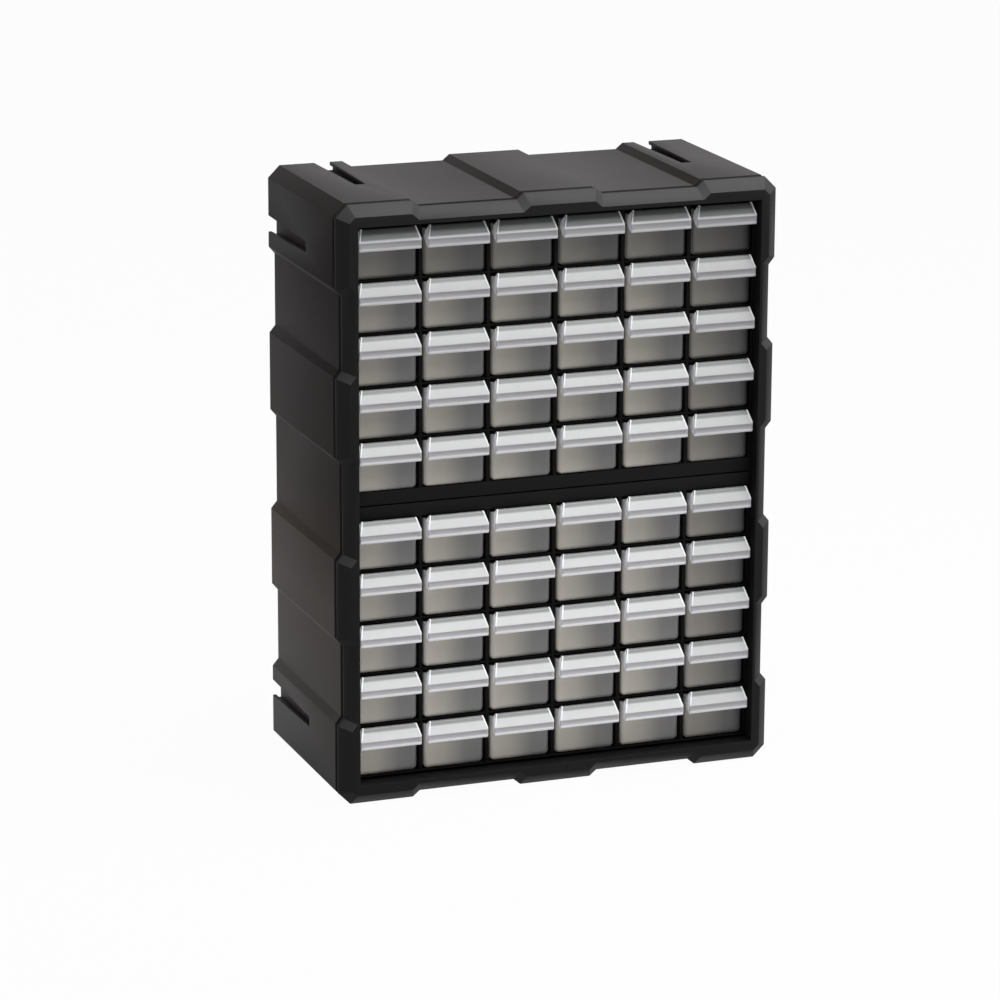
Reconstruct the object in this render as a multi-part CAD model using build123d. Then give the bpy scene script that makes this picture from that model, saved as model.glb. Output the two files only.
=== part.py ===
from build123d import *
from math import sqrt
import os

# Parts bin cabinet: a moulded case with a stepped outline, a chamfered front frame,
# a lattice of slotted plates, and sixty small drawers with hooked pulls.
# Millimetres. X runs to the right as seen from the front, the front faces -Y, Z is up,
# and the origin is the centre of the footprint.

os.makedirs("parts", exist_ok=True)

# ---------------------------------------------------------------- outside of the case
cabinet_width = 380.0
cabinet_height = 500.0
cabinet_depth = 186.0
case_wall = 2.5
corner_cut = 10.0          # 45 degree cut along the four long corners
step_depth = 5.0           # how far the panels lie below the raised pads
step_run = 6.0             # the ramp from a pad down to a panel
side_corner_pad = 68.0     # height of the raised pads at the ends of a side
side_pad_start = 141.0     # a middle pad on a side, lowest height
side_pad_height = 66.0
top_corner_pad = 64.5      # width of the raised pads at the ends of the top and bottom
top_middle_pad = 62.0

# ---------------------------------------------------------------- front frame
bezel_chamfer = 9.0
bezel_land = 3.0           # straight part of the bezel behind its chamfer
groove_width = 2.5         # shadow gap between the bezel and the case
groove_depth = 1.5
frame_side_width = 16.2    # from the side of the cabinet to the window
frame_rail_width = 17.6    # from the top or bottom of the cabinet to the window
frame_recess = 20.5        # from the frame's front face back to the lattice
frame_wall = 2.5
spigot_length = 5.0        # the frame's rim that plugs into the case
spigot_gap = 0.2

# ---------------------------------------------------------------- lattice and drawers
columns = 6
rows_per_block = 5
upright_cover = 0.8        # the outer uprights' middles lie this far behind the frame's edge
sill_height = 3.2          # from the window's lower edge up to the lowest drawers
header_height = 2.0        # from the top of the highest row up to the window's upper edge
middle_band = 21.6         # extra height between the two blocks of rows
upright_thickness = 3.0
shelf_thickness = 1.6
halving_gap = 0.1          # clearance all round where two plates cross
drawer_float = 0.3         # clearance between a drawer and the shelf it slides on
stop_gap = 0.4             # the drawer's front stops this far ahead of the lattice
rail_groove_width = 1.2    # the fine line along the middle band
rail_groove_depth = 0.8

drawer_side_gap = 1.2      # from a drawer to the upright beside it
drawer_headroom = 5.0      # from a drawer's rim up to the underside of the next row
drawer_length = 150.0
drawer_wall = 1.5
drawer_bottom_radius = 4.0
drawer_inner_bevel = 1.5   # flat inside the rounded lower edge, which keeps the wall even

pull_reach = 15.5          # front of the pull, ahead of the drawer's front wall
pull_top_reach = 10.5
pull_gap = 0.5             # from the top of a pull up to the next row
pull_slope_height = 7.8    # from the pull's top edge down to its upright face
pull_height = 18.1
pull_wall = 1.6
pull_corner_width = 3.0    # cut at the two upper corners of the pull
pull_corner_height = 7.0
pull_bead_height = 2.4     # the plain strip below the channel
pull_channel_height = 3.6
pull_channel_depth = 0.6
pull_channel_margin = 2.2

# ---------------------------------------------------------------- back and slots
rear_rim = 2.5             # flange round the back of the case
back_panel_overlap = 6.0   # how far the back panel laps onto the rim
back_panel_rise = 7.6      # how far the back panel reaches past the window, above and below
back_panel_thickness = 2.5
hanger_spacing = 240.0
hanger_drop = 60.0         # from the top of the cabinet down to the hangers' heads
hanger_head_radius = 4.5
hanger_slot_radius = 2.25
hanger_slot_rise = 10.0

slot_depth = 7.0           # joining slots: they take a sliding key from the next cabinet
slot_mouth = 13.5
slot_end = 8.5
slot_length = 100.0
slot_lip = 2.5             # undercut at the floor, on each side
slot_lip_thickness = 3.0
slot_wall = 2.0
slot_inset_top = 47.0      # from the side of the cabinet to the slot's centre line
slot_inset_side = 48.5     # from the top or bottom of the cabinet to the slot's centre line

# ---------------------------------------------------------------- sizes that follow
window_width = cabinet_width - 2 * frame_side_width
window_height = cabinet_height - 2 * frame_rail_width
window_base = frame_rail_width
window_top = window_base + window_height
rows = 2 * rows_per_block
column_pitch = (window_width + 2 * upright_cover) / columns
row_pitch = (window_height - sill_height - header_height - middle_band) / rows
lowest_drawer_height = window_base + sill_height
lattice_width = columns * column_pitch + upright_thickness

drawer_width = column_pitch - upright_thickness - 2 * drawer_side_gap
drawer_wall_height = row_pitch - drawer_headroom
pull_top = row_pitch - pull_gap
pull_brow = pull_top - pull_slope_height
pull_bottom = pull_top - pull_height

back_panel_width = lattice_width
back_panel_height = window_height + 2 * back_panel_rise
rear_opening_width = back_panel_width - 2 * back_panel_overlap
rear_opening_height = back_panel_height - 2 * back_panel_overlap
hanger_height = cabinet_height - hanger_drop

# ---------------------------------------------------------------- planes that others use
front_y = -cabinet_depth / 2
back_y = cabinet_depth / 2
bezel_back_y = front_y + bezel_chamfer + bezel_land
case_front_y = bezel_back_y + groove_width
lattice_y = front_y + frame_recess
drawer_front_y = lattice_y - stop_gap
back_panel_y = back_y - rear_rim - back_panel_thickness


def box_between(low, high):
    """A box from its lowest corner to its highest corner."""
    size = [h - l for l, h in zip(low, high)]
    centre = [(h + l) / 2 for l, h in zip(low, high)]
    return Pos(*centre) * Box(*size)


def front_plane(y):
    """A sketch plane facing the front: its x is the cabinet's X and its y is Z."""
    return Plane(origin=(0, y, 0), x_dir=(1, 0, 0), z_dir=(0, -1, 0))


def quarter_profile():
    """The stepped outline from the middle of the right side up to the middle of the top."""
    half_width = cabinet_width / 2
    half_height = cabinet_height / 2
    panel_x = half_width - step_depth
    panel_z = half_height - step_depth
    pad_low = half_height - side_pad_start - side_pad_height
    pad_high = half_height - side_pad_start
    corner_low = half_height - side_corner_pad
    top_pad = half_width - top_corner_pad
    return [
        (panel_x, pad_low - step_run),
        (half_width, pad_low),
        (half_width, pad_high),
        (panel_x, pad_high + step_run),
        (panel_x, corner_low - step_run),
        (half_width, corner_low),
        (half_width, half_height - corner_cut),
        (half_width - corner_cut, half_height),
        (top_pad, half_height),
        (top_pad - step_run, panel_z),
        (top_middle_pad / 2 + step_run, panel_z),
        (top_middle_pad / 2, half_height),
    ]


def stepped_outline(inset=0.0):
    """The cabinet's outline as a face in X and Z, drawn in by an even inset."""
    quarter = quarter_profile()
    points = list(quarter)
    points += [(-x, z) for x, z in reversed(quarter)]
    points += [(-x, -z) for x, z in quarter]
    points += [(x, -z) for x, z in reversed(quarter)]
    face = Polygon(*points, align=None)
    if inset:
        face = offset(face, amount=-inset, kind=Kind.INTERSECTION)
    return Pos(0, cabinet_height / 2) * face


def outline_slab(y_front, y_back, inset=0.0):
    """The outline carried from one depth to another."""
    sketch = front_plane(y_back) * stepped_outline(inset)
    return extrude(sketch, amount=y_back - y_front)


def window_block(y_front, y_back, margin=0.0):
    """A block through the frame's window, grown by a margin on each side."""
    return box_between(
        (-window_width / 2 - margin, y_front, window_base - margin),
        (window_width / 2 + margin, y_back, window_top + margin),
    )


def slot_shape(wall=0.0):
    """A joining slot cut down into a flat top at z = 0, open at the back, narrowing forwards.

    With a wall it is the solid pocket that holds the slot.
    """
    mouth = slot_mouth / 2 + wall
    end = slot_end / 2 + wall
    front = back_y - slot_length - wall
    neck = Polygon((-end, front), (end, front), (mouth, back_y), (-mouth, back_y), align=None)
    floor = Polygon(
        (-end - slot_lip, front),
        (end + slot_lip, front),
        (mouth + slot_lip, back_y),
        (-mouth - slot_lip, back_y),
        align=None,
    )
    depth = slot_depth + wall
    lip = slot_lip_thickness - wall
    channel = Pos(0, 0, -depth) * extrude(floor, amount=depth - lip)
    return channel + Pos(0, 0, -depth) * extrude(neck, amount=depth)


def slot_places():
    """Where the eight joining slots lie: two on the top, the bottom and each side."""
    places = []
    for side in (-1, 1):
        across = side * (cabinet_width / 2 - slot_inset_top)
        upright = cabinet_height / 2 + side * (cabinet_height / 2 - slot_inset_side)
        places.append(Pos(across, 0, cabinet_height))
        places.append(Pos(across, 0, 0) * Rot(0, 180, 0))
        places.append(Pos(cabinet_width / 2, 0, upright) * Rot(0, 90, 0))
        places.append(Pos(-cabinet_width / 2, 0, upright) * Rot(0, -90, 0))
    return places


def make_case():
    """The outer case: thin stepped walls, a rim at the back and eight joining slots."""
    case = outline_slab(case_front_y, back_y)
    cavity = outline_slab(case_front_y, back_y - rear_rim, case_wall)
    pockets = [place * slot_shape(slot_wall) for place in slot_places()]
    for pocket in pockets:
        cavity -= pocket
    case -= cavity
    case -= box_between(
        (-rear_opening_width / 2, back_y - rear_rim, (cabinet_height - rear_opening_height) / 2),
        (rear_opening_width / 2, back_y, (cabinet_height + rear_opening_height) / 2),
    )
    for place in slot_places():
        case -= place * slot_shape()
    return case


def make_front_frame():
    """The bezel, chamfered all round, its tunnel back to the lattice and its spigot.

    The hollow behind it starts one wall behind the chamfer, measured square to the chamfer.
    """
    bezel = outline_slab(front_y, bezel_back_y)
    front_face = bezel.faces().sort_by(Axis.Y)[0]
    bezel = chamfer(front_face.edges(), bezel_chamfer)
    spigot_inset = case_wall + spigot_gap
    spigot_back = case_front_y + spigot_length
    neck = outline_slab(bezel_back_y, case_front_y, groove_depth)
    spigot = outline_slab(case_front_y, spigot_back, spigot_inset)
    hollow_inset = spigot_inset + frame_wall
    hollow_front = front_y + bezel_chamfer - hollow_inset + frame_wall * sqrt(2)
    hollow = outline_slab(hollow_front, spigot_back, hollow_inset)
    frame = bezel + neck + spigot
    frame -= hollow
    frame += window_block(hollow_front, lattice_y, frame_wall)
    frame -= window_block(front_y, lattice_y)
    return frame


def keyhole(x):
    """A keyhole for a wall screw: the head goes in below and the shank slides up."""
    y_low = back_panel_y
    y_high = back_panel_y + back_panel_thickness
    middle = (y_low + y_high) / 2
    turn = Rot(90, 0, 0)
    head = Pos(x, middle, hanger_height) * turn * Cylinder(hanger_head_radius, back_panel_thickness)
    top = hanger_height + hanger_slot_rise
    seat = Pos(x, middle, top) * turn * Cylinder(hanger_slot_radius, back_panel_thickness)
    slot = box_between((x - hanger_slot_radius, y_low, hanger_height), (x + hanger_slot_radius, y_high, top))
    return head + seat + slot


def make_back_panel():
    """The back panel, seated on the inside of the case's rear rim."""
    middle = cabinet_height / 2
    panel = box_between(
        (-back_panel_width / 2, back_panel_y, middle - back_panel_height / 2),
        (back_panel_width / 2, back_panel_y + back_panel_thickness, middle + back_panel_height / 2),
    )
    for x in (-hanger_spacing / 2, hanger_spacing / 2):
        panel -= keyhole(x)
    return panel


def row_base(row):
    """The height of a drawer's underside. Row 0 is the lowest."""
    extra = middle_band if row >= rows_per_block else 0.0
    return lowest_drawer_height + row * row_pitch + extra


def column_x(column):
    """The middle of a column of drawers. Column 0 is the left one."""
    return (column - (columns - 1) / 2) * column_pitch


def upright_x(line):
    """The middle of an upright. Line 0 is the left one."""
    return (line - columns / 2) * column_pitch


def shelf_top(row):
    """The upper face of the shelf that carries a row."""
    return row_base(row) - drawer_float


rail_base = shelf_top(rows_per_block - 1) + row_pitch - shelf_thickness
rail_top = shelf_top(rows_per_block)
ceiling_base = shelf_top(rows - 1) + row_pitch - shelf_thickness
plate_middle_y = (lattice_y + back_panel_y) / 2


def crossing_shelves():
    """Upper faces of the shelves that cross the uprights, between two rows of one block."""
    ends = (0, rows_per_block)
    return [shelf_top(row) for row in range(rows) if row not in ends]


def make_shelf(top, crossing=True):
    """A shelf. One that crosses the uprights has a slot from its front edge for each of them."""
    half = lattice_width / 2 - upright_thickness
    shelf = box_between((-half, lattice_y, top - shelf_thickness), (half, back_panel_y, top))
    reach = upright_thickness / 2 + halving_gap
    inner_lines = range(1, columns) if crossing else ()
    for line in inner_lines:
        x = upright_x(line)
        shelf -= box_between(
            (x - reach, lattice_y, top - shelf_thickness),
            (x + reach, plate_middle_y + halving_gap / 2, top),
        )
    return shelf


def make_upright(line, low, high):
    """An upright between two columns, slotted from the back edge where the shelves cross."""
    x = upright_x(line)
    half = upright_thickness / 2
    upright = box_between((x - half, lattice_y, low), (x + half, back_panel_y, high))
    if line in (0, columns):
        return upright
    for top in crossing_shelves():
        if low < top < high:
            upright -= box_between(
                (x - half, plate_middle_y - halving_gap / 2, top - shelf_thickness - halving_gap),
                (x + half, back_panel_y, top + halving_gap),
            )
    return upright


def make_centre_rail():
    """The plain band between the blocks: a channel with a shelf above and a ceiling below."""
    half = lattice_width / 2
    rail = box_between((-half, lattice_y, rail_base), (half, back_panel_y, rail_top))
    rail -= box_between(
        (-half, lattice_y + case_wall, rail_base + shelf_thickness),
        (half, back_panel_y, rail_top - shelf_thickness),
    )
    groove_base = (rail_base + rail_top - rail_groove_width) / 2
    rail -= box_between(
        (-half, lattice_y, groove_base),
        (half, lattice_y + rail_groove_depth, groove_base + rail_groove_width),
    )
    return rail


def drawer_section(inset=0.0):
    """The tray's section across its length, drawn in by an inset, with sharp corners."""
    half = drawer_width / 2 - inset
    corners = [(-half, inset), (half, inset), (half, drawer_wall_height), (-half, drawer_wall_height)]
    return make_face(Polyline(*corners, close=True))


def lower_corners(section):
    """The two lowest corners of a section."""
    return section.vertices().group_by(Axis.Y)[0]


def pull_profile():
    """The pull seen from the side: x is the reach ahead of the front wall, y is the height."""
    slope = (pull_reach - pull_top_reach) / (pull_top - pull_brow)
    inner_top_reach = pull_top_reach - pull_wall
    inner_reach = pull_reach - pull_wall
    root = -drawer_wall / 2
    return [
        (root, drawer_wall_height),
        (inner_top_reach, pull_top),
        (pull_top_reach, pull_top),
        (pull_reach, pull_brow),
        (pull_reach, pull_bottom),
        (inner_reach, pull_bottom),
        (inner_reach, pull_brow - slope * pull_wall),
        (inner_top_reach, pull_top - (1 + slope) * pull_wall),
        (root, drawer_wall_height - pull_wall),
    ]


def make_pull():
    """The hooked pull, with its two upper corners cut and a channel along its face."""
    half = drawer_width / 2
    side = Plane(origin=(half, 0, 0), x_dir=(0, -1, 0), z_dir=(-1, 0, 0))
    profile = side * Polygon(*pull_profile(), align=None)
    pull = extrude(profile, amount=drawer_width, dir=(-1, 0, 0))
    for end in (-1, 1):
        corner = Polygon(
            (end * half, pull_top - pull_corner_height),
            (end * half, pull_top),
            (end * (half - pull_corner_width), pull_top),
            align=None,
        )
        pull -= extrude(Plane.XZ * corner, amount=pull_reach, dir=(0, -1, 0))
    channel_half = half - pull_channel_margin
    channel_base = pull_bottom + pull_bead_height
    pull -= box_between(
        (-channel_half, -pull_reach, channel_base),
        (channel_half, -pull_reach + pull_channel_depth, channel_base + pull_channel_height),
    )
    return pull


def make_drawer():
    """One drawer at the origin: its front wall faces -Y at y = 0 and its underside is z = 0."""
    outer = drawer_section()
    outer = fillet(lower_corners(outer), drawer_bottom_radius)
    inner = drawer_section(drawer_wall)
    inner = chamfer(lower_corners(inner), drawer_inner_bevel)
    tray = extrude(Plane.XZ * outer, amount=-drawer_length)
    hollow = extrude(Plane.XZ * inner, amount=-(drawer_length - 2 * drawer_wall))
    tray -= Pos(0, drawer_wall, 0) * hollow
    return tray + make_pull()


def place_drawer(drawer, column, row):
    """A drawer in its cell."""
    return Pos(column_x(column), drawer_front_y, row_base(row)) * drawer


def write(name, solids):
    """One node: its solids side by side in one file."""
    if len(solids) == 1:
        export_step(solids[0], f"parts/{name}.step")
    else:
        export_step(Compound(children=solids), f"parts/{name}.step")


def plain_solids(shape):
    """The solids of a shape, for a node of several pieces."""
    return list(shape.solids())


write("outer_case", plain_solids(make_case()))
write("front_frame", plain_solids(make_front_frame()))
write("back_panel", plain_solids(make_back_panel()))
write("centre_rail", plain_solids(make_centre_rail()))

end_shelves = [shelf_top(0), ceiling_base + shelf_thickness]
shelves = [make_shelf(top).solid() for top in crossing_shelves()]
shelves += [make_shelf(top, crossing=False).solid() for top in end_shelves]
write("shelves", shelves)

uprights = [make_upright(line, shelf_top(0), rail_base).solid() for line in range(columns + 1)]
uprights += [make_upright(line, rail_top, ceiling_base).solid() for line in range(columns + 1)]
write("uprights", uprights)

# Rows are named from the top, as a person reads the cabinet. The two lowest drawers of each
# column share a file, because a cabinet's parts stop at sixty.
drawer = make_drawer().solid()
shared_rows = (0, 1)
for column in range(columns):
    for row in range(rows):
        if row not in shared_rows:
            single = place_drawer(drawer, column, row)
            write(f"drawer_row_{rows - row:02d}_column_{column + 1}", [single])
    pair = [place_drawer(drawer, column, row) for row in shared_rows]
    write(f"drawers_rows_{rows - 1:02d}_{rows:02d}_column_{column + 1}", pair)
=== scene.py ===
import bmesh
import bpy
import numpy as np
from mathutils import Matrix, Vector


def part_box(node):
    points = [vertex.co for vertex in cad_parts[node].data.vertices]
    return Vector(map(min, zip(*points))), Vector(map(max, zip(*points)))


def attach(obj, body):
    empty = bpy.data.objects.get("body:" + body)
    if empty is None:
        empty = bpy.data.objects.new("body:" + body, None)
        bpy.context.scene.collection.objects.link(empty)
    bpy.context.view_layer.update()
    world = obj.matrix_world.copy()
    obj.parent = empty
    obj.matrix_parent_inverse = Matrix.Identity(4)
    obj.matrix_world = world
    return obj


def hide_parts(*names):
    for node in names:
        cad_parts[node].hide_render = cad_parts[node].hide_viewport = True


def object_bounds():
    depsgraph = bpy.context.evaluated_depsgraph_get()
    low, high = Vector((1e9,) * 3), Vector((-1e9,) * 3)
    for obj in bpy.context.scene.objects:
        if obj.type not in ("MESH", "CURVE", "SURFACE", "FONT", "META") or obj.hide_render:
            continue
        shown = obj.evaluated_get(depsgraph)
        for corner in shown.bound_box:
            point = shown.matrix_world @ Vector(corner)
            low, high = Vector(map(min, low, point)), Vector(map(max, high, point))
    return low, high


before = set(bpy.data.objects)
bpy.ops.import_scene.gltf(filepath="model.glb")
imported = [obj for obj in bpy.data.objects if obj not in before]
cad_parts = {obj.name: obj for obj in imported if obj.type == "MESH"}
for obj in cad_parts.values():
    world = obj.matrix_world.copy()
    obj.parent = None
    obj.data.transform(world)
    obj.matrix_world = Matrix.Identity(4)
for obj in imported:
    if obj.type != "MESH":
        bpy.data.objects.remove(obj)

# %% [markdown]
# # A parts bin cabinet
# A black moulded cabinet holds sixty small frosted drawers. The imported model gives the case, the
# frame, the lattice and every drawer at its true size, and this script dresses them: it softens the
# moulded edges, makes the drawers as thin translucent mouldings, and lights them like a catalogue
# photograph. First come the tools of the trade and the box of the imported model.

MM = 0.001
cad_low, cad_high = [list(corner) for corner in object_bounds()]
print("cabinet box in mm:", np.round(np.array([cad_low, cad_high]) / MM, 1).tolist())

# %% [markdown]
# ## The camera
# A product photographer stands well back with a long lens, so upright edges stay nearly upright.
# The camera's angles were worked out from the cabinet's corners, and the lens from how little the
# far edges shrink. The camera looks at a point on the middle line and is then slid sideways and
# down a little to frame the cabinet.

# %% Camera
camera_azimuth = np.radians(20.52)
camera_elevation = np.radians(15.27)
camera_roll = np.radians(0.26)
camera_distance = 3.6506
camera_slide = (-0.0159, -0.0249)
camera_target = np.array([0.0, 0.0044, 0.245])
lens_in_image_widths = 4.3583
sensor_width = 36.0


def camera_axes():
    """Right, up and backward of a camera that looks along the azimuth, down by the elevation."""
    sin_a, cos_a = np.sin(camera_azimuth), np.cos(camera_azimuth)
    sin_e, cos_e = np.sin(camera_elevation), np.cos(camera_elevation)
    forward = np.array([sin_a * cos_e, cos_a * cos_e, -sin_e])
    right = np.array([cos_a, -sin_a, 0.0])
    up = np.cross(right, forward)
    turned_right = np.cos(camera_roll) * right + np.sin(camera_roll) * up
    turned_up = np.cos(camera_roll) * up - np.sin(camera_roll) * right
    return right, up, turned_right, turned_up, -forward


right, up, turned_right, turned_up, backward = camera_axes()
place = camera_target + camera_distance * backward + camera_slide[0] * right + camera_slide[1] * up
lens = bpy.data.cameras.new("photo_camera")
lens.sensor_width = sensor_width
lens.lens = lens_in_image_widths * sensor_width
lens.clip_end = 50.0
camera = bpy.data.objects.new("photo_camera", lens)
columns_of_turn = np.column_stack([turned_right, turned_up, backward])
camera.matrix_world = Matrix.Translation(Vector(place)) @ Matrix(columns_of_turn.tolist()).to_4x4()
bpy.context.scene.collection.objects.link(camera)
bpy.context.scene.camera = camera
print("camera at", np.round(place, 3).tolist(), "lens", round(lens.lens, 1), "mm")

# %% [markdown]
# ## Colours and nodes
# Colours are written as the hex values that a paint picker shows, and one function turns them to
# the linear values that light is worked out in. One more function adds a node with its settings
# and its links, so that a material reads as a short list.


# %% Colour and node helpers
def linear(hex_colour):
    """An sRGB hex string as a linear RGBA tuple, by the standard sRGB curve."""
    values = np.array([int(hex_colour[i:i + 2], 16) for i in (1, 3, 5)]) / 255.0
    curved = np.where(values <= 0.04045, values / 12.92, ((values + 0.055) / 1.055) ** 2.4)
    return (*curved.tolist(), 1.0)


def add_node(owner, kind, settings=None, links=None, **attributes):
    """Adds a node to a material or a world: its attributes, the settings of its inputs, its links."""
    tree = owner.node_tree
    node = tree.nodes.new(kind)
    for name, value in attributes.items():
        setattr(node, name, value)
    for name, value in (settings or {}).items():
        node.inputs[name].default_value = value
    for name, socket in (links or {}).items():
        tree.links.new(socket, node.inputs[name])
    return node


def colour_ramp(material, value, stops):
    """A colour ramp read by a value, with (value, hex colour) stops in rising order.

    The value is brought to 0..1 over the stops' span by one division.
    """
    first, last = stops[0][0], stops[-1][0]
    share = add_node(
        material, "ShaderNodeMapRange", {"From Min": first, "From Max": last}, {"Value": value}
    )
    ramp = add_node(material, "ShaderNodeValToRGB", links={"Fac": share.outputs["Result"]})
    bands = ramp.color_ramp.elements
    while len(bands) < len(stops):
        bands.new(0.5)
    for band, (at, hex_colour) in zip(bands, stops):
        band.position = (at - first) / (last - first)
        band.color = linear(hex_colour)
    return ramp.outputs["Color"]


def new_material(name):
    """An empty material with a Principled shader joined to its output."""
    material = bpy.data.materials.new(name)
    material.use_nodes = True
    material.node_tree.nodes.clear()
    shader = add_node(material, "ShaderNodeBsdfPrincipled")
    add_node(material, "ShaderNodeOutputMaterial", links={"Surface": shader.outputs["BSDF"]})
    return material, shader


# %% [markdown]
# ## Black moulded polypropylene
# The case and the frame are injection moulded in black polypropylene from a spark-eroded tool.
# That leaves a fine, even grain, so the plastic is not a mirror: it takes a broad soft sheen from
# the lamp above, and its colour looks lighter on top than on the front. Part of that is the sheen
# and part is painted light: the case is given a lighter shade than the frame. The grain on the real
# cabinet is about 0.15 mm across, finer than a pixel here, so it is drawn 0.6 mm across to show.

# %% Black plastic
grain_size = 0.6 * MM
cloud_size = 60.0 * MM
gloss_spread = 0.05
relief_strength = 0.35
polypropylene_ior = 1.49


def cloudy_paint(dark, light):
    """Paint of two close shades that drift into each other in slow clouds."""

    def paint(material):
        place = add_node(material, "ShaderNodeTexCoord").outputs["Object"]
        clouds = add_node(
            material, "ShaderNodeTexNoise", {"Scale": 1 / cloud_size, "Detail": 3.0}, {"Vector": place}
        )
        shade = add_node(
            material, "ShaderNodeMix", links={"Factor": clouds.outputs["Fac"]}, data_type="RGBA"
        )
        shade.inputs[6].default_value = linear(dark)
        shade.inputs[7].default_value = linear(light)
        return shade.outputs[2]

    return paint


def height_paint(stops):
    """Paint by height above the floor, from (height in metres, hex colour) stops."""

    def paint(material):
        place = add_node(material, "ShaderNodeTexCoord").outputs["Object"]
        height = add_node(material, "ShaderNodeSeparateXYZ", links={"Vector": place}).outputs["Z"]
        return colour_ramp(material, height, stops)

    return paint


def black_plastic(name, paint_of, roughness, grain_height, shine):
    """Black moulded plastic: painted, with one fine grain in its gloss and in its relief."""
    material, shader = new_material(name)
    place = add_node(material, "ShaderNodeTexCoord").outputs["Object"]
    grain = add_node(
        material, "ShaderNodeTexNoise", {"Scale": 1 / grain_size, "Detail": 2.0}, {"Vector": place}
    )
    gloss = add_node(
        material,
        "ShaderNodeMapRange",
        {"To Min": roughness - gloss_spread, "To Max": roughness + gloss_spread},
        {"Value": grain.outputs["Fac"]},
    )
    relief = add_node(
        material,
        "ShaderNodeBump",
        {"Strength": relief_strength, "Distance": grain_height},
        {"Height": grain.outputs["Fac"]},
    )
    tree = material.node_tree
    tree.links.new(paint_of(material), shader.inputs["Base Color"])
    tree.links.new(gloss.outputs["Result"], shader.inputs["Roughness"])
    tree.links.new(relief.outputs["Normal"], shader.inputs["Normal"])
    shader.inputs["IOR"].default_value = polypropylene_ior
    shader.inputs["Specular IOR Level"].default_value = shine
    return material


# %% [markdown]
# One plastic serves for the whole cabinet, but its faces don't look the same. The pale floor lights
# the foot of the side, the lamp catches the case's top and the frame's upper chamfer, and hardly any
# light falls into the gap behind the frame, between the drawers or into the lattice. Lamps alone gave
# too little of that contrast, so the light and shade are painted: each of these places gets its own
# shade of the plastic, lighter where light falls and darker where it doesn't, and the side's painted
# light changes with height.

# %% The cabinet's plastics
outer_relief = 0.05 * MM
inner_relief = 0.04 * MM
case_shine = 0.06
frame_shine = 0.1
# Painted light and shade on the side: lighter at its foot, where the pale floor lights it, and darker
# towards the top.
side_light_by_height = [
    (0.0, "#5d5c5c"),
    (0.16, "#625b58"),
    (0.215, "#433c38"),
    (0.26, "#2b2624"),
    (0.34, "#1f1918"),
    (0.45, "#1a1515"),
]
# Painted light: the case takes a lighter shade than the frame, for the light on its top.
case_plastic = black_plastic(
    "black_polypropylene_grained", cloudy_paint("#353333", "#3c3a3a"), 0.58, outer_relief, case_shine
)
side_painted_light_plastic = black_plastic(
    "black_polypropylene_side_painted_light", height_paint(side_light_by_height), 0.58, outer_relief, case_shine
)
frame_plastic = black_plastic(
    "black_polypropylene_frame", cloudy_paint("#191919", "#1d1d1d"), 0.48, outer_relief, frame_shine
)
# Painted light: the frame's upper chamfer is lighter than the frame, for the lamp's light on it.
painted_light_strip_plastic = black_plastic(
    "black_polypropylene_strip_painted_light", cloudy_paint("#3b3a3a", "#403f3f"), 0.5, outer_relief, frame_shine
)
# Painted shade: near black for the gap behind the frame, the tunnel in the window, and the shelves and
# uprights, where little light falls.
painted_shade_plastic = black_plastic(
    "black_polypropylene_painted_shade", cloudy_paint("#0b0b0b", "#0e0e0e"), 0.7, inner_relief, frame_shine
)
# Painted shade: the centre rail is a little darker than the frame, for the little light in the
# lattice.
shaded_lattice_plastic = black_plastic(
    "black_polypropylene_shaded_lattice", cloudy_paint("#161616", "#1a1a1a"), 0.6, inner_relief, frame_shine
)
print("plastics:", case_plastic.name, frame_plastic.name, shaded_lattice_plastic.name)

# %% [markdown]
# ## Frosted drawer plastic
# The drawers are natural polypropylene: milky, see-through enough to show light and dark behind
# the wall, with a satin skin. A thin wall takes on what lies behind it. The front walls are warm
# and pale at the left, where light reaches in, and cool and dark at the right. The pulls are grey
# where the black cabinet is close behind them and nearly white where their hook is open to the
# light. A cheek glows faintly with the light that falls into the hook behind it. Tracing all that
# light through sixty boxes is slow and noisy, so the shader lets a part of it through and paints
# the rest, from measures that every drawer's mesh carries: how far across the drawer a point lies,
# how high, and how much light reaches that drawer.

# %% Frosted plastic
frost_size = 9.0 * MM
skin_size = 1.2 * MM
milk_range = {"To Min": 0.92, "To Max": 1.0}
satin_range = {"To Min": 0.28, "To Max": 0.4}


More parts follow.
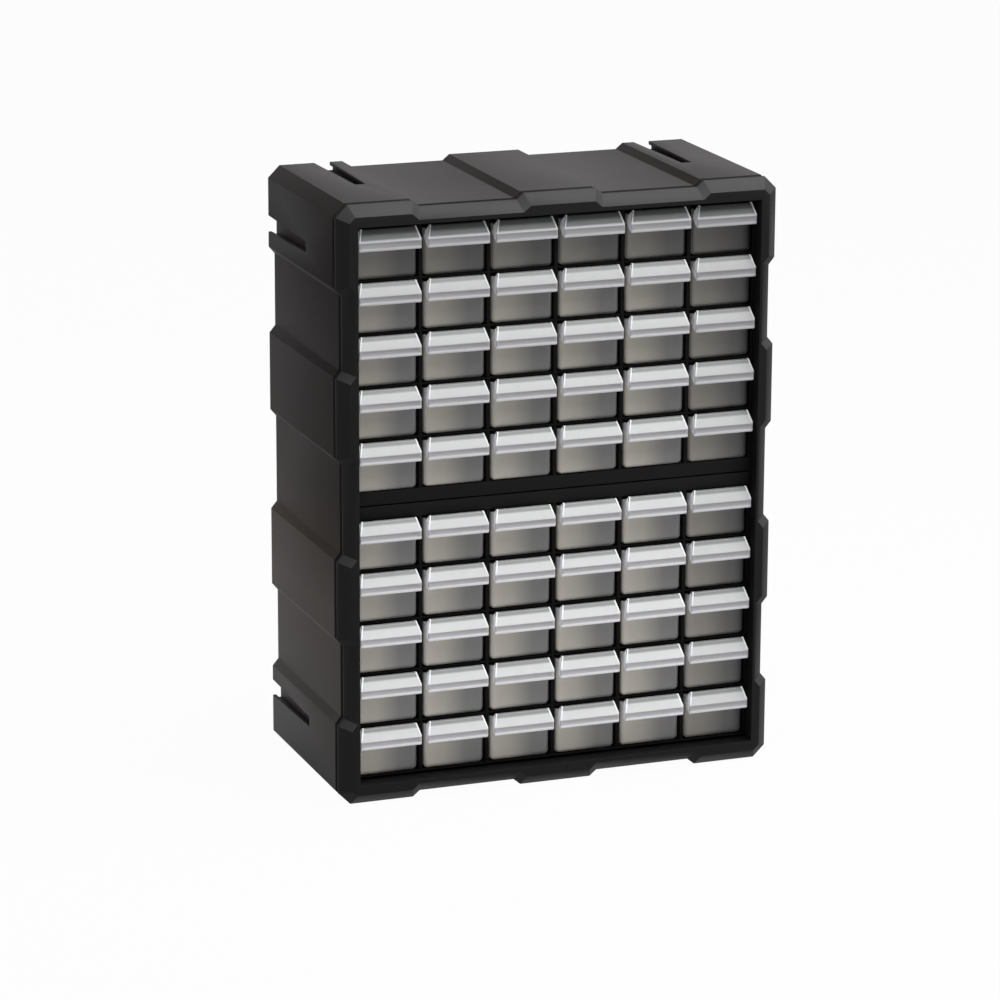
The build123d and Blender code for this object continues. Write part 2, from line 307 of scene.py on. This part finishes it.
def frosted_plastic(name, paint_of, passes, light_share):
    """Milky polypropylene: painted with light and shade, faintly cloudy, satin, and letting a share of
    light through.

    The paint is multiplied by the cloudiness, within milk_range, and by the mesh's own measure
    named in light_share, which tells how much painted light the drawer gets.
    """
    material, shader = new_material(name)
    paint = paint_of(material)
    place = add_node(material, "ShaderNodeTexCoord").outputs["Object"]
    clouds = add_node(
        material, "ShaderNodeTexNoise", {"Scale": 1 / frost_size, "Detail": 2.0}, {"Vector": place}
    )
    milk = add_node(material, "ShaderNodeMapRange", milk_range, {"Value": clouds.outputs["Fac"]})
    milky = add_node(
        material,
        "ShaderNodeVectorMath",
        links={0: paint, 1: milk.outputs["Result"]},
        operation="MULTIPLY",
    )
    reaching = add_node(material, "ShaderNodeAttribute", attribute_name=light_share).outputs["Fac"]
    shade = add_node(
        material,
        "ShaderNodeVectorMath",
        links={0: milky.outputs["Vector"], 1: reaching},
        operation="MULTIPLY",
    )
    skin = add_node(
        material, "ShaderNodeTexNoise", {"Scale": 1 / skin_size, "Detail": 1.0}, {"Vector": place}
    )
    gloss = add_node(material, "ShaderNodeMapRange", satin_range, {"Value": skin.outputs["Fac"]})
    tree = material.node_tree
    tree.links.new(shade.outputs["Vector"], shader.inputs["Base Color"])
    tree.links.new(gloss.outputs["Result"], shader.inputs["Roughness"])
    shader.inputs["IOR"].default_value = polypropylene_ior
    shader.inputs["Transmission Weight"].default_value = passes
    return material


def measured_paint(measure, stops):
    """Paint by one of the mesh's own measures, from (millimetres, hex colour) stops."""

    def paint(material):
        value = add_node(material, "ShaderNodeAttribute", attribute_name=measure).outputs["Fac"]
        return colour_ramp(material, value, stops)

    return paint


# %% [markdown]
# A drawer takes five shades of the frosted plastic: its front wall, the tray behind it, its pull,
# the darker pull of the top row, which the frame shades down to its crease, and the cheeks. The
# shades of the wall, the pulls and the cheeks are painted light and shade.

# %% The drawers' plastics
# Painted light: the front wall is paler and warmer at the left, where light reaches in, and darker at
# the right.
wall_stops = [(-26.4, "#d8d2c8"), (-8.0, "#c2bdb4"), (10.0, "#8b8a89"), (26.4, "#7c7d80")]
# Painted light and shade down the pull: pale on the lip, darker in the channel, bright from the crease
# up the slope, grey at the top.
pull_stops = [
    (25.2, "#e4e4e8"),
    (27.2, "#dcdce0"),
    (27.8, "#aeaeb1"),
    (31.4, "#aaaaad"),
    (32.2, "#cececf"),
    (38.4, "#c9caca"),
    (39.6, "#8c8d8d"),
    (43.3, "#7f8181"),
]
# Painted light: the cheeks are nearly white, for the light that falls into the hook behind them.
cheek_stops = [(25.2, "#eeeef0"), (30.0, "#dcdce0"), (38.0, "#e4e5e6"), (43.3, "#d4d6d6")]
shaded_pull_stops = [
    (25.2, "#e4e4e8"),
    (27.2, "#dcdce0"),
    (27.8, "#b4b4b7"),
    (31.8, "#b0b0b3"),
    (32.4, "#e8e8ea"),
    (33.4, "#e0e0e2"),
    (34.4, "#7c7e7e"),
    (43.3, "#6a6c6c"),
]
tray_stops = [(0.0, "#cfccc6"), (38.8, "#d6d4cf")]
cheek_glow = 0.2
pull_passes = 0.06
wall_plastic = frosted_plastic(
    "natural_polypropylene_thin_wall", measured_paint("across_mm", wall_stops), 0.2, "wall_light"
)
tray_plastic = frosted_plastic(
    "natural_polypropylene_tray", measured_paint("rise_mm", tray_stops), 0.3, "tray_light"
)
pull_plastic = frosted_plastic(
    "natural_polypropylene_pull", measured_paint("rise_mm", pull_stops), pull_passes, "pull_light"
)
shaded_pull_plastic = frosted_plastic(
    "natural_polypropylene_shaded_pull",
    measured_paint("rise_mm", shaded_pull_stops),
    pull_passes,
    "pull_light",
)
cheek_plastic = frosted_plastic(
    "natural_polypropylene_cheek", measured_paint("rise_mm", cheek_stops), 0.0, "pull_light"
)
# The cheek's glow is painted light: a faint emission that stands in for the light through it.
cheek_shader = cheek_plastic.node_tree.nodes["Principled BSDF"]
cheek_shader.inputs["Emission Color"].default_value = linear("#d8d8dc")
cheek_shader.inputs["Emission Strength"].default_value = cheek_glow
print("drawer plastics:", wall_plastic.name, pull_plastic.name, shaded_pull_plastic.name)

# %% [markdown]
# ## Softened mouldings
# No moulded edge is knife sharp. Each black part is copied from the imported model, its triangles are
# joined, and a small bevel rounds the edges so that they catch the light as a thin line, as the
# real ones do. Two planes are moved to where the photograph has them: the lattice's front comes
# 5 mm forward, and the case's front edge goes 3 mm back, which widens the shadow gap.

# %% How a black part is softened
edge_radius = 0.4 * MM
rail_radius = 0.3 * MM
plate_radius = 0.2 * MM
join_distance = 0.002 * MM
sharp_angle = np.radians(20.0)
lattice_plane = (-72.5 * MM, -77.5 * MM)
case_edge_plane = (-78.5 * MM, -75.5 * MM)


def move_planes(mesh):
    """Moves the vertices that lie on a plane across Y to that plane's new place."""
    points = np.empty(len(mesh.vertices) * 3)
    mesh.vertices.foreach_get("co", points)
    depth = points[1::3]
    for plane, moved_to in (lattice_plane, case_edge_plane):
        depth[np.abs(depth - plane) < join_distance] = moved_to
    mesh.vertices.foreach_set("co", points)
    mesh.update()


def softened(node, material, radius=edge_radius):
    """A copy of a node with joined triangles and rounded edges, which stands for the node."""
    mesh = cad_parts[node].data.copy()
    mesh.name = node + "_moulding"
    grown = bmesh.new()
    grown.from_mesh(mesh)
    bmesh.ops.remove_doubles(grown, verts=grown.verts, dist=join_distance)
    grown.to_mesh(mesh)
    grown.free()
    move_planes(mesh)
    mesh.materials.clear()
    mesh.materials.append(material)
    piece = bpy.data.objects.new(node + "_moulding", mesh)
    bpy.context.scene.collection.objects.link(piece)
    bevel = piece.modifiers.new("edge", "BEVEL")
    bevel.width = radius
    bevel.segments = 2
    bevel.limit_method = "ANGLE"
    bevel.angle_limit = sharp_angle
    bevel.harden_normals = True
    bevel.use_clamp_overlap = True
    mesh.shade_smooth()
    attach(piece, "cabinet")
    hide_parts(node)
    return piece


print("planes moved from and to, in mm:", np.round(np.array([lattice_plane, case_edge_plane]) / MM, 1))

# %% [markdown]
# The frame and the case each have faces in more than one shade, painted for the light and shade
# they get. A face gets its shade by where its middle lies and by which way it looks, so that nothing
# has to be picked by hand. How squarely a face looks along an axis is read from that part of its
# unit normal.

# %% Which face takes which shade
bezel_chamfer = 9.0
window_half_width = 173.8
window_half_height = 232.4
middle_height = 250.0
leeway = 0.2
depth_leeway = 0.05
strip_forward = -0.4
strip_upward = 0.35
edge_on = 0.5
side_facing = 0.6
PLAIN, LIT_STRIP, SHADED_GAP = range(3)


def face_middles_and_normals(mesh):
    """The middle of every face in millimetres, and its unit normal."""
    middles = np.empty(len(mesh.polygons) * 3)
    mesh.polygons.foreach_get("center", middles)
    normals = np.empty(len(mesh.polygons) * 3)
    mesh.polygons.foreach_get("normal", normals)
    return middles.reshape(-1, 3) / MM, normals.reshape(-1, 3)


def shade_front(mesh):
    """Gives the frame's faces their painted light and shade and counts them.

    The strip, painted light, is every face that looks forward and up: the upper chamfer and the cut
    corners beside it. The gap, painted shade, is what lies behind the chamfer and doesn't look
    forward, and the tunnel, whose faces don't look along Y and lie within the window.
    """
    middles, normals = face_middles_and_normals(mesh)
    depth = middles[:, 1] - cad_low[1] / MM
    strip = (normals[:, 1] < strip_forward) & (normals[:, 2] > strip_upward)
    behind_chamfer = (depth > bezel_chamfer + depth_leeway) & (normals[:, 1] > -edge_on)
    tunnel = np.abs(normals[:, 1]) < edge_on
    tunnel &= np.abs(middles[:, 0]) < window_half_width + leeway
    tunnel &= np.abs(middles[:, 2] - middle_height) < window_half_height + leeway
    shades = np.full(len(middles), PLAIN, dtype=np.int32)
    shades[strip] = LIT_STRIP
    shades[behind_chamfer | tunnel] = SHADED_GAP
    mesh.materials.append(painted_light_strip_plastic)
    mesh.materials.append(painted_shade_plastic)
    mesh.polygons.foreach_set("material_index", shades)
    return np.bincount(shades).tolist()


def shade_sides(mesh):
    """Gives the case's faces that look left or right the side's painted light and shade, and counts
    them.
    """
    normals = face_middles_and_normals(mesh)[1]
    sideways = (np.abs(normals[:, 0]) > side_facing).astype(np.int32)
    mesh.materials.append(side_painted_light_plastic)
    mesh.polygons.foreach_set("material_index", sideways)
    return int(sideways.sum())


# %% The black parts
case = softened("outer_case", case_plastic)
front = softened("front_frame", frame_plastic)
rail = softened("centre_rail", shaded_lattice_plastic, rail_radius)
# The shelves and the uprights take the painted shade.
for name in ("shelves", "uprights"):
    softened(name, painted_shade_plastic, plate_radius)
back_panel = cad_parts["back_panel"]
back_panel.data.materials.clear()
back_panel.data.materials.append(case_plastic)
print("bevelled:", [piece.name for piece in (case, front, rail)])
print("sideways faces of the case:", shade_sides(case.data))
print("faces of the frame, plain, strip and gap:", shade_front(front.data))

# %% [markdown]
# ## One drawer, as a few surfaces
# A drawer is a thin tray with rounded corners and a hooked pull across the top of its front, with
# a cheek that closes the hook at each end. The tray could be a box with its edges bevelled, but its
# wall has one even thickness that turns over at the rim, so it is made here as one profile carried
# round a rounded rectangle: up the outside, over the rim and down the inside. The photograph has
# the front wall 5 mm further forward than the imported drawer, so this tray is 5 mm longer.

# %% The drawer's sizes
tray_width = 52.8 * MM
tray_height = 38.8 * MM
tray_length = 155.0 * MM
tray_wall = 1.5 * MM
plan_radius = 4.6 * MM
bottom_radius = 4.0 * MM
rim_radius = 0.5 * MM
arc_steps = 6
quarter = np.linspace(0.0, np.pi / 2, arc_steps + 1)
print("tray in mm:", [round(size / MM, 1) for size in (tray_width, tray_length, tray_height)])


# %% A mesh from rings of points
def mesh_from_rings(name, rings, caps=False):
    """A mesh from a grid of points, rings by points by 3, each ring closed on itself.

    With caps, the first and the last ring are each filled with one flat face.
    """
    count, around = rings.shape[:2]
    ring, step = np.meshgrid(np.arange(count - 1), np.arange(around), indexing="ij")
    following = (step + 1) % around
    quads = np.stack(
        [
            ring * around + step,
            ring * around + following,
            (ring + 1) * around + following,
            (ring + 1) * around + step,
        ],
        axis=-1,
    ).reshape(-1, 4)
    faces = quads.tolist()
    if caps:
        faces.append(list(range(around))[::-1])
        faces.append(list(range((count - 1) * around, count * around)))
    mesh = bpy.data.meshes.new(name)
    mesh.from_pydata(rings.reshape(-1, 3).tolist(), [], faces)
    return mesh


# %% The tray
def plan_ring(inset):
    """The tray's rounded rectangle seen from above, drawn in by an inset, counterclockwise."""
    radius = plan_radius - inset
    half = tray_width / 2 - plan_radius
    near = plan_radius
    far = tray_length - plan_radius
    centres = np.array([(half, near), (half, far), (-half, far), (-half, near)])
    starts = np.array([-np.pi / 2, 0.0, np.pi / 2, np.pi])
    angles = starts[:, None] + quarter[None, :]
    points = centres[:, None, :] + radius * np.stack([np.cos(angles), np.sin(angles)], axis=-1)
    return points.reshape(-1, 2)


def tray_profile():
    """(inset, height) pairs: floor edge, outer wall, over the rim, inner wall, inner floor edge."""
    turn = np.sin(quarter)
    rise = np.cos(quarter)
    outer = np.column_stack([bottom_radius * (1 - turn), bottom_radius * (1 - rise)])
    rim_out = np.column_stack([rim_radius * (1 - rise), tray_height - rim_radius * (1 - turn)])
    rim_in = np.column_stack([tray_wall - rim_out[::-1, 0], rim_out[::-1, 1]])
    inner_radius = bottom_radius - tray_wall
    inner = np.column_stack(
        [tray_wall + inner_radius * (1 - turn), tray_wall + inner_radius * (1 - rise)]
    )[::-1]
    return np.concatenate([outer, rim_out, rim_in, inner])


def tray_rings():
    """The tray's grid: each profile pair gives one ring of the plan at that height."""
    rings = []
    for inset, height in tray_profile():
        plan = plan_ring(inset)
        rings.append(np.column_stack([plan, np.full(len(plan), height)]))
    return np.array(rings)


print("tray grid:", tray_rings().shape)

# %% [markdown]
# The pull is a band that leaves the top of the front wall, rises forwards, turns down in a slope
# to a crease and ends in a thick lip that a finger hooks behind. It is a profile with rounded
# corners, carried across the drawer, with cut upper corners and rounded ends. A shallow channel
# runs along its face, just above the lip.


# %% A path with rounded corners
def rounded_path(points, radii, steps=5):
    """A path through the points with each corner turned on an arc of its own radius.

    An arc touches its two runs at radius times the tangent of half the turn from the corner.
    """
    points = np.asarray(points, float)
    made = [points[:1]]
    for before, corner, after, radius in zip(points[:-2], points[1:-1], points[2:], radii):
        into = (corner - before) / np.linalg.norm(corner - before)
        out = (after - corner) / np.linalg.norm(after - corner)
        turn = np.arccos(np.clip(into @ out, -1.0, 1.0))
        reach = radius * np.tan(turn / 2)
        bisector = (out - into) / np.linalg.norm(out - into)
        centre = corner + bisector * radius / np.cos(turn / 2)
        start = corner - into * reach - centre
        side = np.sign(into[0] * out[1] - into[1] * out[0])
        angle = side * np.linspace(0.0, turn, steps + 1)
        turned = np.stack(
            [
                start[0] * np.cos(angle) - start[1] * np.sin(angle),
                start[0] * np.sin(angle) + start[1] * np.cos(angle),
            ],
            axis=-1,
        )
        made.append(centre + turned)
    made.append(points[-1:])
    return np.concatenate(made)


# %% The pull
pull_width = tray_width
pull_middle_line = np.array([(-0.2, 38.0), (4.6, 42.5), (9.7, 32.0), (9.7, 26.2)]) * MM
pull_corner_radii = np.array([1.4, 2.2]) * MM
pull_thickness = 1.6 * MM
lip_thickness = 2.6 * MM
lip_height = 2.4 * MM
channel_low = 27.8 * MM
channel_high = 31.4 * MM
channel_depth = 0.6 * MM
channel_margin = 2.4 * MM
channel_edge = 0.4 * MM
channel_end_run = 0.3 * MM
lip_steps = 8
cut_start = 33.8 * MM
cut_slope = 3.0 / 9.5


def pull_half_width(height):
    """Half the pull's width at a height: full up to cut_start, then less by cut_slope."""
    return pull_width / 2 - cut_slope * np.clip(height - cut_start, 0.0, None)


def pull_rings():
    """The pull's grid: stations across the drawer by points round the band.

    Round the band a point is the middle line plus or minus half the thickness along its normal;
    across, it is that point's share of the pull's width at its height. At the ends the band thins
    to its middle line on a quarter circle, which rounds them. The lip swells inwards only.
    """
    path = rounded_path(pull_middle_line, pull_corner_radii)
    fine = np.linspace(0.0, 1.0, lip_steps + 1)[1:, None]
    lower = path[-2] + (path[-1] - path[-2]) * fine
    path = np.concatenate([path[:-1], lower])
    along = np.gradient(path, axis=0)
    along /= np.linalg.norm(along, axis=1, keepdims=True)
    normal = np.column_stack([-along[:, 1], along[:, 0]])
    height = path[:, 1]
    swelling = np.clip((path[-1, 1] + lip_height - height) / lip_height, 0.0, 1.0)
    growth = (lip_thickness - pull_thickness) / 2 * np.sin(swelling * np.pi / 2) ** 2
    half = pull_thickness / 2 + growth
    path[:, 0] -= growth
    tip_angle = quarter[1:]
    tip_half = half[-1] * np.cos(tip_angle)
    tip = path[-1] + along[-1] * half[-1] * np.sin(tip_angle)[:, None]
    middle = np.concatenate([path, tip])
    normals = np.concatenate([normal, np.repeat(normal[-1:], len(tip), axis=0)])
    halves = np.concatenate([half, tip_half])
    inside_channel = np.minimum(middle[:, 1] - channel_low, channel_high - middle[:, 1])
    channel = np.clip(inside_channel / channel_edge + 0.5, 0.0, 1.0)
    front_side = halves[:, None] * normals
    middle_loop = np.concatenate([middle, middle[::-1]])
    offset = np.concatenate([front_side, -front_side[::-1]])
    dent = np.concatenate([channel, np.zeros(len(middle))])[:, None] * np.array([-channel_depth, 0.0])
    half_width = pull_half_width(middle_loop[:, 1])
    end = pull_thickness / 2
    rings = []
    for angle in quarter[::-1]:
        across = half_width - end + end * np.sin(angle)
        rings.append((across, np.cos(angle), 0.0))
    rings.append((half_width - channel_margin + channel_end_run, 1.0, 0.0))
    rings.append((half_width - channel_margin - channel_end_run, 1.0, 1.0))
    rings += [(-across, thin, dented) for across, thin, dented in rings[::-1]]
    grid = []
    for across, thin, dented in rings:
        flat = middle_loop + offset * thin + dent * dented
        grid.append(np.column_stack([across, -flat[:, 0], flat[:, 1]]))
    return np.array(grid)


print("pull grid:", pull_rings().shape)

# %% [markdown]
# A cheek is a small flat plate, so it is only its outline, once at its outer face and once at its
# inner one, with both ends capped. Its lower edge rises towards the front wall.

# %% The cheeks
cheek_outline = MM * np.array(
    [
        (-0.5, 38.4),
        (4.5, 42.6),
        (5.6, 42.6),
        (10.2, 33.2),
        (10.2, 26.2),
        (8.6, 25.6),
        (4.0, 27.6),
        (-0.5, 32.0),
    ]
)
cheek_thickness = 1.4 * MM
cheek_inset = 0.15 * MM


def cheek_rings(side):
    """A cheek that closes an end of the hook: its outline at the outer face and at the inner one."""
    reach, height = cheek_outline.T
    faces = [side * (pull_half_width(height) - inward) for inward in (cheek_inset, cheek_thickness)]
    return np.array([np.column_stack([across, -reach, height]) for across in faces])


print("cheek grid:", cheek_rings(1).shape)

# %% [markdown]
# The surfaces are joined into one mesh. Each of its faces is told which plastic it takes, and each
# vertex carries the measures that the paint reads.

# %% One mesh for every drawer
front_wall_depth = 2.0 * MM
weld_distance = 0.01 * MM
WALL, PULL, CHEEK, TRAY = range(4)


def drawer_mesh():
    """The tray, the pull and its cheeks as one mesh, with every face turned outwards."""
    whole = bmesh.new()
    whole.from_mesh(mesh_from_rings("tray", tray_rings(), caps=True))
    tray_faces = len(whole.faces)
    whole.from_mesh(mesh_from_rings("pull", pull_rings()))
    pull_faces = len(whole.faces)
    for side in (-1, 1):
        whole.from_mesh(mesh_from_rings("cheek", cheek_rings(side), caps=True))
    whole.faces.ensure_lookup_table()
    for face in whole.faces[:tray_faces]:
        behind_front = face.calc_center_median().y > front_wall_depth
        face.material_index = TRAY if behind_front else WALL
    for face in whole.faces[tray_faces:pull_faces]:
        face.material_index = PULL
    for face in whole.faces[pull_faces:]:
        face.material_index = CHEEK
    bmesh.ops.remove_doubles(whole, verts=whole.verts, dist=weld_distance)
    bmesh.ops.recalc_face_normals(whole, faces=whole.faces)
    mesh = bpy.data.meshes.new("drawer")
    whole.to_mesh(mesh)
    whole.free()
    for plastic in (wall_plastic, pull_plastic, cheek_plastic, tray_plastic):
        mesh.materials.append(plastic)
    points = np.empty(len(mesh.vertices) * 3)
    mesh.vertices.foreach_get("co", points)
    measures = {"across_mm": points[0::3] / MM, "rise_mm": points[2::3] / MM}
    for measure, values in measures.items():
        mesh.attributes.new(measure, "FLOAT", "POINT").data.foreach_set("value", values)
    mesh.shade_smooth()
    return mesh


master = drawer_mesh()
print("drawer faces:", len(master.polygons))

# %% [markdown]
# Every drawer is a copy of that one mesh, moved to its cell in the mesh itself, so that its object
# stays at the origin. Its place comes from the imported drawer that it stands for, and its row and
# column from that drawer's name. The frame shades the top row, the tunnel's right wall shades the
# last column, and the pale floor lights the lower rows, so each copy also gets its shares of light,
# which scale its paint: painted shade in the top row and the last column, painted light in the
# lower rows.

# %% A drawer's share of the light
rows = 10
last_column = 6
upper_gain = 0.95
floor_gain = 0.5
rows_to_full_gain = 7
top_row_wall = 0.5
other_rows_wall = 0.95
last_column_wall = 0.56
last_column_pull = 0.88


def shares_of_light(row, column):
    """How much painted light a drawer's front wall, its pull and the tray behind get, as factors on
    their paint.

    The gain grows evenly down to the eighth row and then stays. Row 1 is the top row.
    """
    gain = upper_gain + floor_gain * min((row - 1) / rows_to_full_gain, 1.0)
    beside_wall = column == last_column
    wall = gain * (top_row_wall if row == 1 else other_rows_wall)
    wall *= last_column_wall if beside_wall else 1.0
    pull = gain * (last_column_pull if beside_wall else 1.0)
    return {"wall_light": wall, "pull_light": pull, "tray_light": 1.0}


print("light in the top left and bottom right drawers:", shares_of_light(1, 1), shares_of_light(10, 6))


# %% A drawer in its cell
pull_top = 43.3 * MM


def drawer_places(node):
    """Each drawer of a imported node: the middle of its front wall's foot, and its row.

    A node of two drawers holds the two lowest rows. The upper one's foot is one pull_top below
    the node's top.
    """
    low, high = (np.array(corner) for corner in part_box(node))
    middle = (low[0] + high[0]) / 2
    front_wall = high[1] - tray_length
    if node.startswith("drawers"):
        upper_foot = high[2] - pull_top
        return [((middle, front_wall, low[2]), rows), ((middle, front_wall, upper_foot), rows - 1)]
    return [((middle, front_wall, low[2]), int(node.split("_")[2]))]


def drawer_copy(name, place, row, column):
    """A copy of the drawer's mesh, with every vertex moved to the place, and its cell's painted light.
    """
    copy = master.copy()
    copy.name = name
    points = np.empty(len(copy.vertices) * 3)
    copy.vertices.foreach_get("co", points)
    points = points.reshape(-1, 3) + np.asarray(place)
    copy.vertices.foreach_set("co", points.ravel())
    for measure, share in shares_of_light(row, column).items():
        values = np.full(len(points), share, dtype=np.float32)
        copy.attributes.new(measure, "FLOAT", "POINT").data.foreach_set("value", values)
    if row == 1:
        copy.materials[PULL] = shaded_pull_plastic
    copy.update()
    return copy


# %% Sixty drawers
drawer_nodes = sorted(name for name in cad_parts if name.startswith("drawer"))
drawer_count = 0
for node in drawer_nodes:
    column = int(node[-1])
    places = drawer_places(node)
    for place, row in places:
        drawer_count += 1
        name = "frosted_" + node + ("" if len(places) == 1 else f"_{drawer_count}")
        piece = bpy.data.objects.new(name, drawer_copy(name, place, row, column))
        bpy.context.scene.collection.objects.link(piece)
        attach(piece, node)
        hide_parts(node)
print("drawers:", drawer_count)

# %% [markdown]
# ## Stage and light
# The photograph has a plain white ground. A pale floor takes the soft shadow and throws light back
# up. To the camera, and in reflections and seen through plastic, it is nearly all white glow, so
# that only a trace of the shadow shows on it.

# %% The floor
floor_half = 6.0
floor_glow = 0.97


def seen_rays(owner):
    """1 for a ray from the camera, in a reflection or through plastic, and 0 for any other."""
    paths = add_node(owner, "ShaderNodeLightPath").outputs
    direct = add_node(
        owner,
        "ShaderNodeMath",
        links={0: paths["Is Camera Ray"], 1: paths["Is Glossy Ray"]},
        operation="MAXIMUM",
    )
    seen = add_node(
        owner,
        "ShaderNodeMath",
        links={0: direct.outputs[0], 1: paths["Is Transmission Ray"]},
        operation="MAXIMUM",
    )
    return seen.outputs[0]


def make_floor():
    """A flat pale sheet under the cabinet."""
    mesh = bpy.data.meshes.new("floor")
    corners = [(-floor_half, -floor_half, 0), (floor_half, -floor_half, 0)]
    corners += [(floor_half, floor_half, 0), (-floor_half, floor_half, 0)]
    mesh.from_pydata(corners, [], [(0, 1, 2, 3)])
    floor = bpy.data.objects.new("floor", mesh)
    bpy.context.scene.collection.objects.link(floor)
    material, shader = new_material("pale_paper")
    shader.inputs["Base Color"].default_value = linear("#c4c4c4")
    shader.inputs["Roughness"].default_value = 0.8
    white = add_node(material, "ShaderNodeEmission", {"Color": linear("#ffffff"), "Strength": 1.0})
    glow = add_node(
        material, "ShaderNodeMath", {1: floor_glow}, {0: seen_rays(material)}, operation="MULTIPLY"
    )
    mixed = add_node(
        material,
        "ShaderNodeMixShader",
        links={0: glow.outputs[0], 1: shader.outputs["BSDF"], 2: white.outputs["Emission"]},
    )
    output = material.node_tree.nodes["Material Output"]
    material.node_tree.links.new(mixed.outputs["Shader"], output.inputs["Surface"])
    mesh.materials.append(material)
    return floor


floor = make_floor()
print("floor:", floor.name)

# %% [markdown]
# A big lamp overhead, a little to the right, gives the top its sheen. A lamp in front lights the
# drawers, and a weak one on the left keeps the side from going black.


# %% Lamps
def make_lamp(name, place, aim, size, power):
    """A square soft lamp at a place, turned to face the aim."""
    light = bpy.data.lights.new(name, "AREA")
    light.size = size
    light.energy = power
    lamp = bpy.data.objects.new(name, light)
    lamp.location = place
    lamp.rotation_euler = (Vector(aim) - Vector(place)).to_track_quat("-Z", "Y").to_euler()
    bpy.context.scene.collection.objects.link(lamp)
    return lamp


middle = (0.0, 0.0, 0.25)
lamps = [
    make_lamp("overhead", (0.55, -0.5, 2.1), middle, 1.7, 58.0),
    make_lamp("left_fill", (-2.4, -0.6, 0.4), middle, 1.2, 0.5),
    make_lamp("front_fill", (-0.6, -2.8, 0.5), middle, 1.4, 8.0),
]
print("lamps:", [lamp.name for lamp in lamps])

# %% [markdown]
# The world around is white where it is seen, and gives only a little light of its own, so that the
# lamps decide how the cabinet is lit.

# %% World
world_strength = 0.12
world = bpy.data.worlds.new("studio")
bpy.context.scene.world = world
world.use_nodes = True
surround = world.node_tree.nodes["Background"]
surround.inputs["Color"].default_value = linear("#ffffff")
surround.inputs["Strength"].default_value = world_strength
white = add_node(world, "ShaderNodeBackground", {"Color": linear("#ffffff")})
mix = add_node(
    world,
    "ShaderNodeMixShader",
    links={0: seen_rays(world), 1: surround.outputs["Background"], 2: white.outputs["Background"]},
)
world.node_tree.links.new(
    mix.outputs["Shader"], world.node_tree.nodes["World Output"].inputs["Surface"]
)
bpy.context.scene.view_settings.view_transform = "Standard"
print("world:", world.name)
